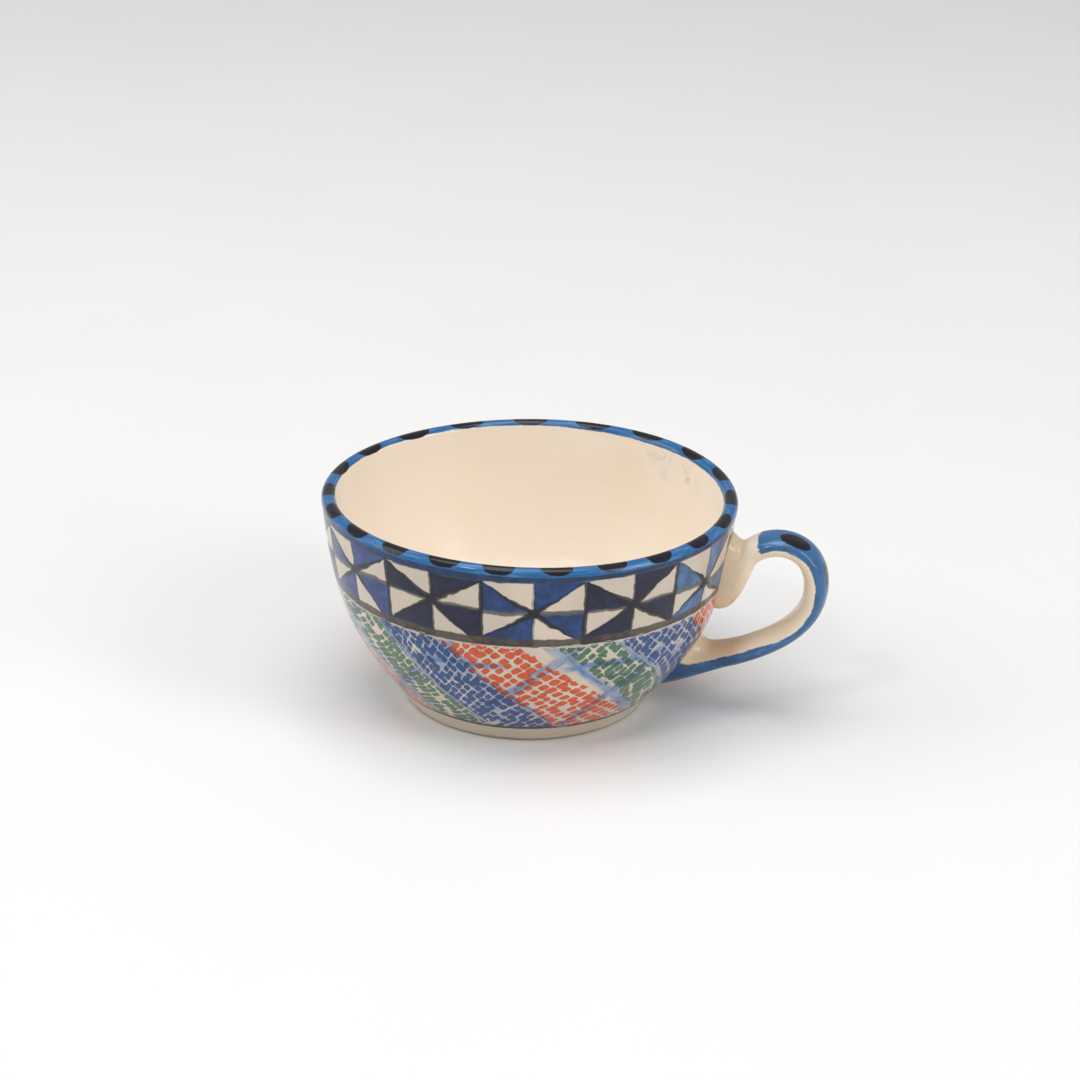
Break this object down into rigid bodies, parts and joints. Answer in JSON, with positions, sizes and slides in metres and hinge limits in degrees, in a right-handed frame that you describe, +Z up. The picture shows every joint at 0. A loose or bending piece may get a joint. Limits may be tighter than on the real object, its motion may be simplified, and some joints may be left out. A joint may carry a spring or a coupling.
{
  "type": "stoneware mug",
  "caption": "Wide round-bellied stoneware cup with a foot ring and an ear-shaped strap handle, hand-painted and clear-glazed.",
  "frame": {"origin": "centre of the foot ring, on the table", "axes": "+Z up along the cup's axis, +X from the axis towards the handle, +Y across the handle"},
  "size_m": [0.1478, 0.12, 0.0632],
  "materials": {
    "stoneware": "fired clay under the glaze",
    "foot_stoneware": "thin clear glaze on the side, bare clay where it stands",
    "handle_glaze": "glossy cream with a cobalt stripe and dark dabs on the outer face",
    "cream_glaze": "glossy clear glaze over cream clay with fine specks",
    "painted_glaze": "underglaze colours under glossy clear glaze",
    "rim_glaze": "streaky blue band with dark half-oval dabs under glossy glaze"
  },
  "bodies": {
    "root": {"bowl": "stoneware", "foot_ring": "foot_stoneware", "handle": "handle_glaze", "upper_handle_join": "handle_glaze", "lower_handle_join": "handle_glaze", "inner_glaze": "cream_glaze", "outer_glaze": "painted_glaze", "rim_glaze": "rim_glaze"}
  },
  "joints": []
}
